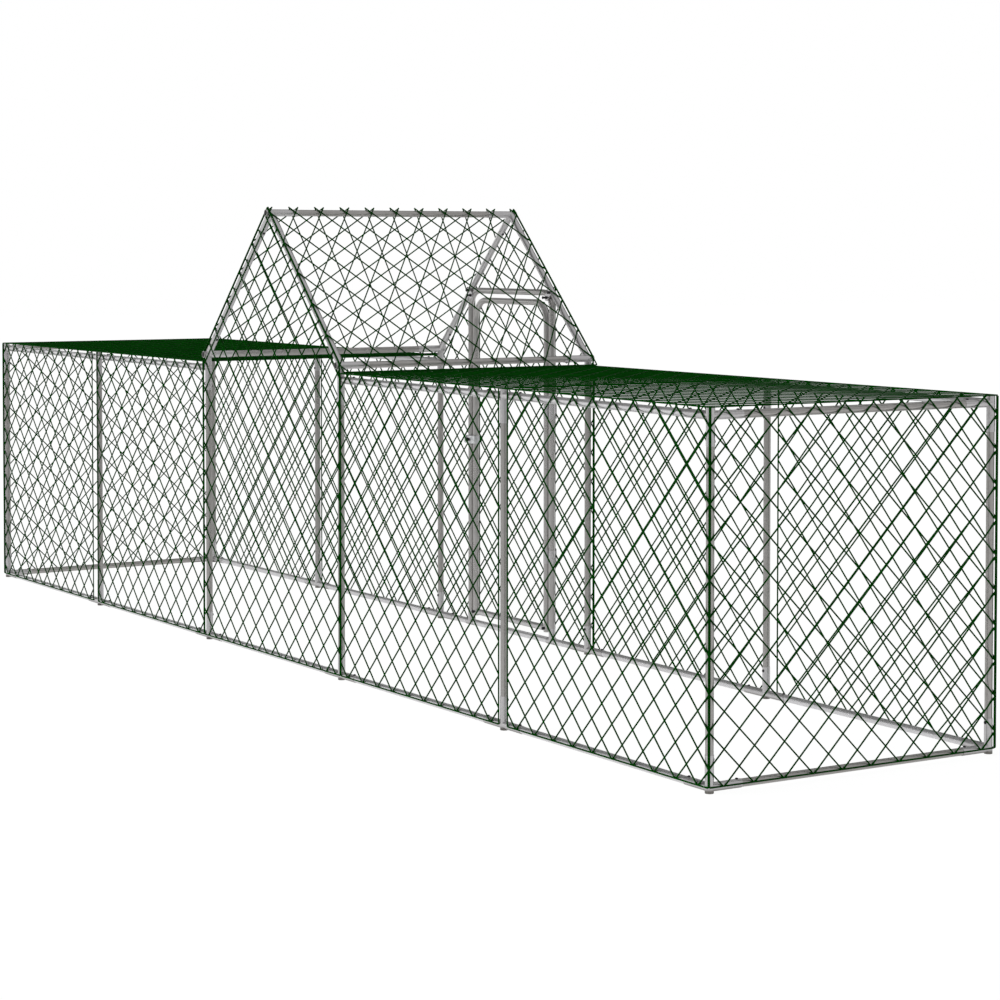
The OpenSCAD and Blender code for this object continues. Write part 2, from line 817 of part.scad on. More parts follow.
net_left_end();
net_right_end();
nets_left_front();
nets_left_back();
nets_left_roof();
nets_right_front();
nets_right_back();
nets_right_roof();
net_house_front();
net_slope_left();
net_slope_right();
net_door_side_left();
net_door_side_right();
net_door_head();
net_door_leaf();
post_left_end_front();
post_left_end_back();
post_left_mid_front();
post_left_mid_back();
post_left_house_front();
post_left_house_back();
post_right_house_front();
post_right_house_back();
post_right_mid_front();
post_right_mid_back();
post_right_end_front();
post_right_end_back();
ground_rails_front();
ground_rails_back();
ground_rails_ends();
top_rails_left_front();
top_rails_left_back();
top_rails_right_front();
top_rails_right_back();
top_rails_ends();
rafters_front();
rafters_back();
eave_tube_left();
eave_tube_right();
ridge_tube();
corner_fittings();
cross_fittings();
eave_fittings();
ridge_fittings();
tube_plugs();
frame_screws();
door_frame();
door_tees();
door_straps();
leaf_frame();
leaf_rail();
leaf_screws();
hinge_frame_straps();
hinge_leaf_straps();
hinge_pins();
latch_keeper();
latch_guide();
latch_bolt();
latch_knob();
door_pull();
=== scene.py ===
import json
import math

import bmesh
import bpy
from mathutils import Matrix, Vector


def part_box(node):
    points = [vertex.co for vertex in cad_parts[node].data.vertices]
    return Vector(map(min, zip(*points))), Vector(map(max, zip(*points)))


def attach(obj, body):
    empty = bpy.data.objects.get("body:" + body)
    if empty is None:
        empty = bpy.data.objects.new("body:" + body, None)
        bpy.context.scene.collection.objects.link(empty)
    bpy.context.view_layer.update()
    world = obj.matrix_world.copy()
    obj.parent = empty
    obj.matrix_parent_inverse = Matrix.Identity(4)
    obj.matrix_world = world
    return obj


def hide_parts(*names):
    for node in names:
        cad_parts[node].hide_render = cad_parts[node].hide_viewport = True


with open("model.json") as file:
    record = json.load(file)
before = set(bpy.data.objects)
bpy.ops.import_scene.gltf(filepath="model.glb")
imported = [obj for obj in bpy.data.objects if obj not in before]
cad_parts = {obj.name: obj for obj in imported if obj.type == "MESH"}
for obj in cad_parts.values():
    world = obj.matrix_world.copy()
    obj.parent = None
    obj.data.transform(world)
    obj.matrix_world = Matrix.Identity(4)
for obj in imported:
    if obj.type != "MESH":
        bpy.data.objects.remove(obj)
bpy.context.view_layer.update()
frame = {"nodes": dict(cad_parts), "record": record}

# Sizes of the run, in metres
BAY = 1.0
HOUSE_X = BAY / 2
MID_X = 1.5 * BAY
RIDGE_Z = 1.525
EAVE_Z = 1.025
RISE = (RIDGE_Z - EAVE_Z) / HOUSE_X
SLOPE = math.atan(RISE)
LEAF_BEND = 0.066
HANDS = {"left": -1, "right": 1}

# Nets' wires: NET_HALF is half a packed net's thickness, and each layer lies LAYER_SHIFT off the middle
CELLS = 10
PITCH = 0.1
NET_HALF = 0.0018
WIRE_R = 0.0023
ROOF_WIRE_R = 0.00185
SHORTEST_WIRE = 4 * WIRE_R
WIRE_SIDES = 8
BORDER_BEND = 0.004
BEND_STEPS = 3
LAYER_SHIFT = 0.0003
BOX_ROOM = 0.00002

# Edges and crossings of the nets
INNER_NET_GAP = 0.007
OUTER_NET_GAP = 0.036
ROOF_NET_GAP = 0.0003
TOP_TIP = 0.0025
RIDGE_TIP = 0.0024
GABLE_CROSSING_DROP = 0.025
SLOPE_CROSSING_DROP = 0.023
SLOPE_NET_HALF = 0.4955
DOOR_SIDE_NET_X = 0.2703
CUT_ROOM = 1e-6

# Mesh helpers
MERGE_GAP = 1e-6
CREASE = math.radians(40)


def smooth_sides(bm):
    for face in bm.faces:
        face.smooth = True
    for edge in bm.edges:
        edge.smooth = len(edge.link_faces) == 2 and edge.calc_face_angle(0.0) < CREASE


def add_piece(name, bm, body, material, replaced=()):
    bmesh.ops.remove_doubles(bm, verts=bm.verts, dist=MERGE_GAP)
    bmesh.ops.recalc_face_normals(bm, faces=bm.faces)
    smooth_sides(bm)
    mesh = bpy.data.meshes.new(name)
    bm.to_mesh(mesh)
    bm.free()
    mesh.materials.append(material)
    piece = bpy.data.objects.new(name, mesh)
    bpy.context.scene.collection.objects.link(piece)
    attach(piece, body)
    if replaced:
        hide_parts(*replaced)


def straight_wire(bm, start, end, radius):
    axis = end - start
    turn = axis.to_track_quat("Z", "Y").to_matrix().to_4x4()
    place = Matrix.Translation((start + end) / 2) @ turn
    bmesh.ops.create_cone(bm, cap_ends=True, segments=WIRE_SIDES, radius1=radius, radius2=radius,
                          depth=axis.length, matrix=place)


def bent_wire(bm, points, radius, bend, closed):
    """One wire along straight runs, with a round bend at each corner."""
    if closed:
        middle = (points[0] + points[-1]) / 2
        points = [middle] + list(points) + [middle]
    heading = (points[1] - points[0]).normalized()
    turn = heading.to_track_quat("Z", "Y").to_matrix().to_4x4()
    ring = bmesh.ops.create_circle(bm, segments=WIRE_SIDES, radius=radius, cap_ends=not closed,
                                   matrix=Matrix.Translation(points[0]) @ turn)["verts"]
    loop = list({edge for vert in ring for edge in vert.link_edges})
    here = points[0]
    for i in range(1, len(points)):
        heading = (points[i] - points[i - 1]).normalized()
        last = i == len(points) - 1
        if last:
            stop = points[i]
        else:
            ahead = (points[i + 1] - points[i]).normalized()
            angle = heading.angle(ahead)
            stop = points[i] - heading * bend * math.tan(angle / 2)
        grown = bmesh.ops.extrude_edge_only(bm, edges=loop)["geom"]
        verts = [g for g in grown if isinstance(g, bmesh.types.BMVert)]
        loop = [g for g in grown if isinstance(g, bmesh.types.BMEdge)
                and all(v in verts for v in g.verts)]
        bmesh.ops.translate(bm, verts=verts, vec=stop - here)
        here = stop
        if not last:
            axis = heading.cross(ahead).normalized()
            centre = stop + axis.cross(heading) * bend
            spun = bmesh.ops.spin(bm, geom=loop, cent=centre, axis=axis, angle=angle, steps=BEND_STEPS,
                                  use_duplicate=False)["geom_last"]
            loop = [g for g in spun if isinstance(g, bmesh.types.BMEdge)]
            here = points[i] + ahead * bend * math.tan(angle / 2)
    if not closed:
        bmesh.ops.edgeloop_fill(bm, edges=loop)


# Net lattices: outlines are counter-clockwise in the net's own plane

def lattice_chords(outline, pitch, anchor, way):
    """The parallel wires of one direction, cut to a convex outline."""
    size = math.hypot(1 / pitch[0], 1 / pitch[1])
    normal = Vector((1 / pitch[0], way / pitch[1])) / size
    spacing = 1 / size
    places = [normal.dot(p - anchor) / spacing for p in outline]
    chords = []
    for k in range(math.ceil(min(places)), math.floor(max(places)) + 1):
        ends = []
        for i, a in enumerate(outline):
            b = outline[(i + 1) % len(outline)]
            da = normal.dot(a - anchor) - k * spacing
            db = normal.dot(b - anchor) - k * spacing
            if (da >= 0) != (db >= 0):
                ends.append(a + (b - a) * da / (da - db))
        if len(ends) == 2 and (ends[1] - ends[0]).length > SHORTEST_WIRE:
            chords.append((ends[0], ends[1]))
    return chords


def inset(outline, gap):
    """A convex outline with each side moved inwards."""
    lines = []
    for i, a in enumerate(outline):
        run = (outline[(i + 1) % len(outline)] - a).normalized()
        inward = Vector((-run.y, run.x))
        lines.append((a + inward * gap, run))
    corners = []
    for i, (p, r) in enumerate(lines):
        q, s = lines[i - 1]
        t = (q - p).cross(s) / r.cross(s)
        corners.append(p + r * t)
    return corners


def cut(outline, normal, limit):
    """The part of a convex outline on the inner side of a line."""
    kept = []
    for i, a in enumerate(outline):
        b = outline[(i + 1) % len(outline)]
        da = limit - normal.dot(a)
        db = limit - normal.dot(b)
        if da >= 0:
            kept.append(a)
        if (da >= 0) != (db >= 0):
            kept.append(a + (b - a) * da / (da - db))
    return kept


def rectangle(x0, y0, x1, y1):
    return [Vector((x0, y0)), Vector((x1, y0)), Vector((x1, y1)), Vector((x0, y1))]


def lay_net(bm, outline, pitch, anchor, lift, out, open_top=False, radius=WIRE_R):
    """Round wires and their border; lift maps the plane into space, out points away from the run.

    An open top is for a rectangle: its border runs from the upper left corner round to the upper right one.
    """
    sink = radius + LAYER_SHIFT - NET_HALF + BOX_ROOM
    middle = inset(outline, WIRE_R)
    border = [lift(p) - out * sink for p in middle]
    if open_top:
        border = border[3:] + border[:3]
    bent_wire(bm, border, radius, BORDER_BEND, closed=not open_top)
    for way in (1, -1):
        for start, end in lattice_chords(middle, pitch, anchor, way):
            step = out * (LAYER_SHIFT * way - sink)
            straight_wire(bm, lift(start) + step, lift(end) + step, radius)


def lay_bay_net(bm, x0, y0, x1, y1, lift, out, open_top=False, radius=WIRE_R):
    """A net of whole cells; with an open top, its wires end just above their last crossings."""
    last_crossing = y1 - TOP_TIP if open_top else y1
    edge = y1 + WIRE_R if open_top else y1
    pitch = ((x1 - x0) / CELLS, (last_crossing - y0) / CELLS)
    anchor = Vector((x0 + pitch[0] / 2, y0))
    lay_net(bm, rectangle(x0, y0, x1, edge), pitch, anchor, lift, out, open_top, radius)


# Node groups

def new_group(name, inputs, outputs):
    group = bpy.data.node_groups.new(name, "ShaderNodeTree")
    for label in inputs:
        group.interface.new_socket(label, in_out="INPUT", socket_type="NodeSocketFloat")
    for label in outputs:
        group.interface.new_socket(label, in_out="OUTPUT", socket_type="NodeSocketFloat")
    return group, group.nodes.new("NodeGroupInput"), group.nodes.new("NodeGroupOutput")


NOISE_DETAIL = {"Cloud": 4.0, "Grain": 2.0}


def surface_noise():
    """Cloudy patches and small grains, as values round 0.5."""
    group, source, result = new_group("surface_noise", ("Cloud Scale", "Grain Scale"), ("Cloud", "Grain"))
    place = group.nodes.new("ShaderNodeTexCoord")
    for label, detail in NOISE_DETAIL.items():
        texture = group.nodes.new("ShaderNodeTexNoise")
        texture.inputs["Detail"].default_value = detail
        group.links.new(place.outputs["Object"], texture.inputs["Vector"])
        group.links.new(source.outputs[label + " Scale"], texture.inputs["Scale"])
        group.links.new(texture.outputs["Fac"], result.inputs[label])
    return group


def zinc_spangle():
    """Flat crystals of hot-dip zinc: a tone for each crystal."""
    group, source, result = new_group("zinc_spangle", ("Crystal Scale",), ("Tone",))
    place = group.nodes.new("ShaderNodeTexCoord")
    crystal = group.nodes.new("ShaderNodeTexVoronoi")
    group.links.new(place.outputs["Object"], crystal.inputs["Vector"])
    group.links.new(source.outputs["Crystal Scale"], crystal.inputs["Scale"])
    split = group.nodes.new("ShaderNodeSeparateColor")
    group.links.new(crystal.outputs["Color"], split.inputs["Color"])
    group.links.new(split.outputs["Red"], result.inputs["Tone"])
    return group


NOISE = surface_noise()
SPANGLE = zinc_spangle()


# Node helpers

def new_material(name):
    material = bpy.data.materials.new(name)
    material.use_nodes = True
    tree = material.node_tree
    return material, tree, tree.nodes["Principled BSDF"]


def place_group(tree, group, **values):
    node = tree.nodes.new("ShaderNodeGroup")
    node.node_tree = group
    for label, value in values.items():
        node.inputs[label.replace("_", " ")].default_value = value
    return node


def ramp(tree, value, start, end):
    """A colour that goes from one stop, a place and a colour, to another."""
    node = tree.nodes.new("ShaderNodeValToRGB")
    for element, (position, colour) in zip(node.color_ramp.elements, (start, end)):
        element.position = position
        element.color = (*colour, 1.0)
    tree.links.new(value, node.inputs["Fac"])
    return node.outputs["Color"]


def spread(tree, value, low, high):
    node = tree.nodes.new("ShaderNodeMapRange")
    node.inputs["To Min"].default_value = low
    node.inputs["To Max"].default_value = high
    tree.links.new(value, node.inputs["Value"])
    return node.outputs["Result"]


def mixed(tree, share, a, b, blend="MIX"):
    node = tree.nodes.new("ShaderNodeMix")
    node.data_type = "RGBA"
    node.blend_type = blend
    if isinstance(share, float):
        node.inputs["Factor"].default_value = share
    else:
        tree.links.new(share, node.inputs["Factor"])
    tree.links.new(a, node.inputs["A"])
    tree.links.new(b, node.inputs["B"])
    return node.outputs["Result"]


def shader_mix(tree, share, a, b):
    node = tree.nodes.new("ShaderNodeMixShader")
    tree.links.new(share, node.inputs["Fac"])
    tree.links.new(a, node.inputs[1])
    tree.links.new(b, node.inputs[2])
    return node.outputs["Shader"]


def bumped(tree, shader, height, strength):
    node = tree.nodes.new("ShaderNodeBump")
    node.inputs["Strength"].default_value = strength
    node.inputs["Distance"].default_value = BUMP_DEPTH
    tree.links.new(height, node.inputs["Height"])
    tree.links.new(node.outputs["Normal"], shader.inputs["Normal"])


def band(tree, axis, start, end):
    """A mask that rises from 0 to 1 along one axis of the run, between two places."""
    place = tree.nodes.new("ShaderNodeTexCoord")
    split = tree.nodes.new("ShaderNodeSeparateXYZ")
    tree.links.new(place.outputs["Object"], split.inputs["Vector"])
    node = tree.nodes.new("ShaderNodeMapRange")
    node.inputs["From Min"].default_value = start
    node.inputs["From Max"].default_value = end
    tree.links.new(split.outputs[axis], node.inputs["Value"])
    return node.outputs["Result"]


# Tones, each as its darkest and lightest colour
TUBE_TONES = ((0.63, 0.62, 0.625), (0.73, 0.715, 0.725))
# Painted light: the long rails' tones are the tube tones made lighter, as if their front faces were lit
LIT_RAIL_TONES = ((0.78, 0.77, 0.785), (0.88, 0.87, 0.885))
# Painted shade: the tube tones made darker, for the posts and the tubes that run along Y
SHADED_TUBE_TONES = ((0.44, 0.425, 0.41), (0.54, 0.525, 0.51))
# Painted shade: the tube tones made darker, for the door's frame and leaf
SHADED_DOOR_TONES = ((0.53, 0.515, 0.505), (0.63, 0.615, 0.605))
# The latch's tones: a pale plated zinc, made near white partly as a painted highlight
PALE_TONES_AND_HIGHLIGHT = ((0.78, 0.79, 0.81), (0.88, 0.89, 0.91))
# Darker tones for the foot of the posts and fittings
FOOT_DARK_TONES = ((0.16, 0.15, 0.14), (0.26, 0.25, 0.23))
BLACK_TONES = ((0.008, 0.008, 0.009), (0.02, 0.02, 0.022))
GREEN_TONES = ((0.0, 0.04, 0.0005), (0.0005, 0.066, 0.001))
PLUG_TONES = ((0.006, 0.006, 0.006), (0.015, 0.015, 0.016))

# Where the posts and fittings turn darker towards the foot, and the hinges are black
FOOT_DARKENING = ("Z", 0.006, 0.013)
HINGE_BLACK = ("Y", 0.4955, 0.4965)

# Grain, gloss and skin of the finishes
CLOUD_RANGE = (0.3, 0.7)
BUMP_DEPTH = 0.0004
ZINC_METALLIC = 0.85
ZINC_ROUGHNESS = (0.24, 0.32)
ZINC_CLOUD = 7.0
ZINC_GRAIN = 420.0
ZINC_BUMP = 0.15
BLOOM_SHARE = 0.6
TUBE_CRYSTALS = 150.0
FITTING_CRYSTALS = 220.0
LATCH_CRYSTALS = 260.0
LATCH_METALLIC = 0.3
LATCH_ROUGHNESS = (0.18, 0.28)
COAT_CLOUD = 14.0
COAT_BUMP = 0.2
PLASTIC_GRAIN = 500.0
PLASTIC_ROUGHNESS = (0.5, 0.7)
STEEL_GRAIN = 600.0
STEEL_ROUGHNESS = (0.35, 0.6)
PLAIN_SPECULAR = 0.5
WIRE_SPECULAR = 0.03


def cloudy(tree, noise, tones):
    low, high = CLOUD_RANGE
    return ramp(tree, noise.outputs["Cloud"], (low, tones[0]), (high, tones[1]))


def zinc_coated(name, tones, crystal_scale, metallic=ZINC_METALLIC, roughness=ZINC_ROUGHNESS,
                darker_foot=None, black=None):
    """Galvanised steel: crystals, cloudy bloom and a fine grain; where asked, darker along one band and
    black along another.
    """
    material, tree, shader = new_material(name)
    noise = place_group(tree, NOISE, Cloud_Scale=ZINC_CLOUD, Grain_Scale=ZINC_GRAIN)
    spangle = place_group(tree, SPANGLE, Crystal_Scale=crystal_scale)
    crystals = ramp(tree, spangle.outputs["Tone"], (0.0, tones[0]), (1.0, tones[1]))
    zinc = mixed(tree, BLOOM_SHARE, crystals, cloudy(tree, noise, tones))
    shader.inputs["Metallic"].default_value = metallic
    # Darker towards the foot, below the band's upper end
    if darker_foot is not None:
        zinc = mixed(tree, band(tree, *darker_foot), cloudy(tree, noise, FOOT_DARK_TONES), zinc)
    if black is not None:
        share = band(tree, *black)
        zinc = mixed(tree, share, zinc, cloudy(tree, noise, BLACK_TONES))
        tree.links.new(spread(tree, share, metallic, 0.0), shader.inputs["Metallic"])
    tree.links.new(zinc, shader.inputs["Base Color"])
    tree.links.new(spread(tree, noise.outputs["Cloud"], *roughness), shader.inputs["Roughness"])
    bumped(tree, shader, noise.outputs["Grain"], ZINC_BUMP)
    return material


def coated(name, tones, grain_scale, roughness, specular=PLAIN_SPECULAR):
    """Paint or plastic with a slightly uneven tone and skin."""
    material, tree, shader = new_material(name)
    noise = place_group(tree, NOISE, Cloud_Scale=COAT_CLOUD, Grain_Scale=grain_scale)
    tree.links.new(cloudy(tree, noise, tones), shader.inputs["Base Color"])
    tree.links.new(spread(tree, noise.outputs["Grain"], *roughness), shader.inputs["Roughness"])
    shader.inputs["Specular IOR Level"].default_value = specular
    bumped(tree, shader, noise.outputs["Grain"], COAT_BUMP)
    return material


GALVANISED = zinc_coated("galvanised_tube", TUBE_TONES, TUBE_CRYSTALS)
# Posts: the galvanised tube with painted shade, a darker copy of it
SHADED_POST_ZINC = zinc_coated("galvanised_post", SHADED_TUBE_TONES, TUBE_CRYSTALS, darker_foot=FOOT_DARKENING)
# Long rails: the galvanised tube with painted light, a lighter copy of it
LIT_RAIL_ZINC = zinc_coated("galvanised_rail_painted_light", LIT_RAIL_TONES, TUBE_CRYSTALS)
# Tubes along Y: the galvanised tube with painted shade, a darker copy of it
SHADED_CROSS_ZINC = zinc_coated("galvanised_cross_tube_painted_shade", SHADED_TUBE_TONES, TUBE_CRYSTALS)
# Door tubes: the galvanised tube with painted shade, a darker copy of it
SHADED_DOOR_ZINC = zinc_coated("galvanised_door_tube_painted_shade", SHADED_DOOR_TONES, TUBE_CRYSTALS)
BRIGHT_ZINC = zinc_coated("bright_zinc_fitting", TUBE_TONES, FITTING_CRYSTALS, darker_foot=FOOT_DARKENING)
# Latch: pale plated zinc with little metal sheen, its near-white tone partly a painted highlight
LATCH_ZINC_AND_HIGHLIGHT = zinc_coated("plated_latch_zinc_and_painted_highlight", PALE_TONES_AND_HIGHLIGHT, LATCH_CRYSTALS, LATCH_METALLIC, LATCH_ROUGHNESS)
HINGE_ZINC = zinc_coated("black_hinge", TUBE_TONES, FITTING_CRYSTALS, black=HINGE_BLACK)
GREEN_COAT = coated("green_wire_coat", GREEN_TONES, PLASTIC_GRAIN, PLASTIC_ROUGHNESS, WIRE_SPECULAR)
BLACK_STEEL = coated("black_steel", BLACK_TONES, STEEL_GRAIN, STEEL_ROUGHNESS)
PLUG_PLASTIC = coated("plug_plastic", PLUG_TONES, PLASTIC_GRAIN, PLASTIC_ROUGHNESS)

# Each node takes the finish of its slot, apart from those with a finish of their own; the long rails, the
# tubes along Y and the door tubes take lighter and darker copies of the tube finish, which are painted
# light and painted shade
FINISH = {"tube": GALVANISED, "fitting": BRIGHT_ZINC, "net_wire": GREEN_COAT,
          "dark_metal": BLACK_STEEL, "plug_plastic": PLUG_PLASTIC}
# The long rails, which take the lighter copy of the tube with painted light
LIT_LONG_RAILS = ("ground_rails_front", "ground_rails_back", "top_rails_left_front", "top_rails_left_back",
              "top_rails_right_front", "top_rails_right_back")
# The tubes along Y, which take the darker copy of the tube with painted shade
SHADED_CROSS_TUBES = ("ground_rails_ends", "top_rails_ends", "eave_tube_left", "eave_tube_right", "ridge_tube")
OWN_FINISH_AND_PAINTED_LIGHT = {}
for finish, names in ((LIT_RAIL_ZINC, LIT_LONG_RAILS), (SHADED_CROSS_ZINC, SHADED_CROSS_TUBES),
                      (SHADED_DOOR_ZINC, ("door_frame", "leaf_frame")),
                      (LATCH_ZINC_AND_HIGHLIGHT, ("latch_keeper", "latch_guide", "latch_bolt")),
                      (HINGE_ZINC, ("hinge_frame_straps", "hinge_leaf_straps"))):
    OWN_FINISH_AND_PAINTED_LIGHT.update(dict.fromkeys(names, finish))

for part in frame["record"]["subparts"]:
    name = part["node"]
    node = frame["nodes"][name]
    finish = OWN_FINISH_AND_PAINTED_LIGHT.get(name, FINISH[part["material_slot"]])
    node.data.materials.clear()
    # Posts take the darker copy of the tube, with painted shade
    node.data.materials.append(SHADED_POST_ZINC if name.startswith("post_") else finish)


# Nets of the wings

def on_side(node):
    """How a net that faces front or back is lifted from its plane, and its outward direction."""
    low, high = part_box(node)
    y = (low.y + high.y) / 2
    return (lambda p: Vector((p.x, y, p.y))), Vector((0, math.copysign(1, y), 0))


def net_piece(node, bm, body="frame"):
    add_piece("wires_" + node, bm, body, GREEN_COAT, [node])


def bay_spans(low, high, hand, inner_gap, outer_gap):
    """A wing's two bays along X, from the house outwards, with their gaps to the middle post."""
    near, far = (low.x, high.x) if hand == 1 else (-high.x, -low.x)
    spans = ((near, MID_X - inner_gap), (MID_X + outer_gap, far))
    return [sorted((hand * x0, hand * x1)) for x0, x1 in spans]


def side_nets(node, hand):
    low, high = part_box(node)
    lift, out = on_side(node)
    bm = bmesh.new()
    for x0, x1 in bay_spans(low, high, hand, INNER_NET_GAP, OUTER_NET_GAP):
        lay_bay_net(bm, x0, low.z, x1, high.z, lift, out, open_top=True)
    net_piece(node, bm)


def roof_nets(node, hand):
    low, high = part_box(node)
    z = (low.z + high.z) / 2
    bm = bmesh.new()
    for x0, x1 in bay_spans(low, high, hand, ROOF_NET_GAP, ROOF_NET_GAP):
        lay_bay_net(bm, x0, low.y, x1, high.y, lambda p: Vector((p.x, p.y, z)), Vector((0, 0, 1)),
                    radius=ROOF_WIRE_R)
    net_piece(node, bm)


def end_net(node, hand):
    low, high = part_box(node)
    x = (low.x + high.x) / 2
    bm = bmesh.new()
    lay_bay_net(bm, low.y, low.z, high.y, high.z, lambda p: Vector((x, p.x, p.y)), Vector((hand, 0, 0)),
                open_top=True)
    net_piece(node, bm)


for wing, hand in HANDS.items():
    side_nets(f"nets_{wing}_front", hand)
    side_nets(f"nets_{wing}_back", hand)
    roof_nets(f"nets_{wing}_roof", hand)
    end_net(f"net_{wing}_end", hand)


# Nets of the house

gable_low, gable_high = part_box("net_house_front")
GABLE = [Vector((gable_low.x, gable_low.z)), Vector((gable_high.x, gable_low.z)),
         Vector((gable_high.x, gable_high.z - gable_high.x * RISE)), Vector((0, gable_high.z)),
         Vector((gable_low.x, gable_high.z + gable_low.x * RISE))]
HOUSE_PITCH = (PITCH, PITCH * RISE)


def gable_net(node):
    """The part of the gable that a node covers; the nets beside the door reach its legs."""
    low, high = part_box(node)
    if node == "net_door_side_right":
        low.x = DOOR_SIDE_NET_X
    if node == "net_door_side_left":
        high.x = -DOOR_SIDE_NET_X
    outline = cut(GABLE, Vector((1, 0)), high.x + CUT_ROOM)
    outline = cut(outline, Vector((-1, 0)), -low.x + CUT_ROOM)
    outline = cut(outline, Vector((0, -1)), -low.z + CUT_ROOM)
    lift, out = on_side(node)
    bm = bmesh.new()
    lay_net(bm, outline, HOUSE_PITCH, Vector((0, RIDGE_Z - GABLE_CROSSING_DROP)), lift, out)
    net_piece(node, bm)


def slope_net(node, hand):
    """A roof slope from its foot to the ridge, where the wires' tips stand out."""
    low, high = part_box(node)
    tangent = Vector((-hand * math.cos(SLOPE), 0, math.sin(SLOPE)))
    out = Vector((hand * math.sin(SLOPE), 0, math.cos(SLOPE)))
    foot_x = high.x if hand == 1 else low.x
    foot = Vector((foot_x - hand * NET_HALF * math.sin(SLOPE), 0, low.z + NET_HALF * math.cos(SLOPE)))
    ridge_run = (high.z - NET_HALF * math.cos(SLOPE) - foot.z) / math.sin(SLOPE)
    outline = rectangle(-SLOPE_NET_HALF, 0, SLOPE_NET_HALF, ridge_run + WIRE_R + RIDGE_TIP)
    pitch = (2 * SLOPE_NET_HALF / CELLS, PITCH / math.cos(SLOPE))
    bm = bmesh.new()
    lay_net(bm, outline, pitch, Vector((0, ridge_run - SLOPE_CROSSING_DROP)),
            lambda p: Vector((0, p.x, 0)) + foot + tangent * p.y, out, open_top=True)
    net_piece(node, bm)


def leaf_net(node):
    """The door leaf's net, with its two upper corners cut where the tube bends."""
    low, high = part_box(node)
    outline = rectangle(low.x, low.z, high.x, high.z)
    reach = (high.x + high.z - LEAF_BEND * (2 - math.sqrt(2))) / math.sqrt(2)
    for hand in (1, -1):
        outline = cut(outline, Vector((hand, 1)) / math.sqrt(2), reach)
    lift, out = on_side(node)
    bm = bmesh.new()
    lay_net(bm, outline, HOUSE_PITCH, Vector((0, low.z + NET_HALF)), lift, out)
    net_piece(node, bm, "door_leaf")


for node in ("net_house_front", "net_door_side_left", "net_door_side_right", "net_door_head"):
    gable_net(node)
for wing, hand in HANDS.items():
    slope_net(f"net_slope_{wing}", hand)
leaf_net("net_door_leaf")


# Hex bolts of the door's frame and leaf, with their hexagons inside the run

BOLT_HEAD_R = 0.0055
BOLT_HEAD_H = 0.004
BOLT_SHANK_R = 0.0035
BOLT_BEVEL = 0.0005
HEX_SIDES = 6
SHANK_SIDES = 12
STRAP_HALF = 0.012
STRAP_SPAN = 0.0262
STRAP_BOLT = 0.036
STRAP_BOLT_OUT = 0.016
SHORT_BOLT = 0.028
SHORT_BOLT_OUT = 0.008
LEAF_BOLT = 0.026
LEAF_BOLT_OUT = 0.008


def bolt_part(bm, place, radius, start, end, sides):
    middle = place @ Matrix.Translation((0, 0, (start + end) / 2))
    made = bmesh.ops.create_cone(bm, cap_ends=True, segments=sides, radius1=radius, radius2=radius,
                                 depth=end - start, matrix=middle)
    edges = list({edge for vert in made["verts"] for edge in vert.link_edges})
    bmesh.ops.bevel(bm, geom=edges, offset=BOLT_BEVEL, segments=1, profile=0.5, affect="EDGES",
                    material=-1)


def hex_bolt(bm, x, seat_y, z, out, length):
    """A bolt along Y: one hexagon lies on the seat, one on the end that stands out inside the run."""
    place = Matrix.Translation((x, seat_y, z)) @ Matrix.Rotation(-math.pi / 2, 4, "X")
    bolt_part(bm, place, BOLT_SHANK_R, -out, length - out, SHANK_SIDES)
    bolt_part(bm, place, BOLT_HEAD_R, -BOLT_HEAD_H, 0, HEX_SIDES)
    bolt_part(bm, place, BOLT_HEAD_R, -out, BOLT_HEAD_H - out, HEX_SIDES)


strap_low, strap_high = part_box("door_straps")
upper = Vector((strap_high.x - STRAP_HALF, 0, strap_high.z - STRAP_HALF))
lower = upper - Vector((math.sin(SLOPE), 0, math.cos(SLOPE))) * STRAP_SPAN
bm = bmesh.new()
for hand in (1, -1):
    hex_bolt(bm, hand * upper.x, strap_low.y, upper.z, SHORT_BOLT_OUT, SHORT_BOLT)
    hex_bolt(bm, hand * lower.x, strap_low.y, lower.z, STRAP_BOLT_OUT, STRAP_BOLT)
add_piece("door_corner_bolts", bm, "frame", BLACK_STEEL)

leg_low, leg_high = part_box("leaf_frame")
rail_low, rail_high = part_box("leaf_rail")
leg_x = leg_high.x - (leg_high.y - leg_low.y) / 2
bm = bmesh.new()
for hand in (1, -1):
    hex_bolt(bm, hand * leg_x, leg_low.y, (rail_low.z + rail_high.z) / 2, LEAF_BOLT_OUT, LEAF_BOLT)
add_piece("leaf_corner_bolts", bm, "door_leaf", BLACK_STEEL)


# Floor: mostly a white glow to the camera, less of it in reflections, and pale paint for soft light

FLOOR_HALF = 40.0
FLOOR_DROP = 0.0005
FLOOR_TONE = (0.85, 0.85, 0.85, 1)
FLOOR_ROUGHNESS = 0.9
FLOOR_GLOW = 1.13
FLOOR_SHARES = {"Is Camera Ray": 0.85, "Is Glossy Ray": 0.45, "Is Transmission Ray": 0.85}
WHITE = (1, 1, 1, 1)


def ray_share(tree, shares):
    """A share for each kind of ray named, and none for the others."""
    path = tree.nodes.new("ShaderNodeLightPath")
    total = None
    for kind, share in shares.items():
        part = tree.nodes.new("ShaderNodeMath")
        part.operation = "MULTIPLY"
        part.inputs[1].default_value = share
        tree.links.new(path.outputs[kind], part.inputs[0])
        if total is None:
            total = part.outputs[0]
            continue
        larger = tree.nodes.new("ShaderNodeMath")
        larger.operation = "MAXIMUM"
        tree.links.new(total, larger.inputs[0])
        tree.links.new(part.outputs[0], larger.inputs[1])
        total = larger.outputs[0]
    return total


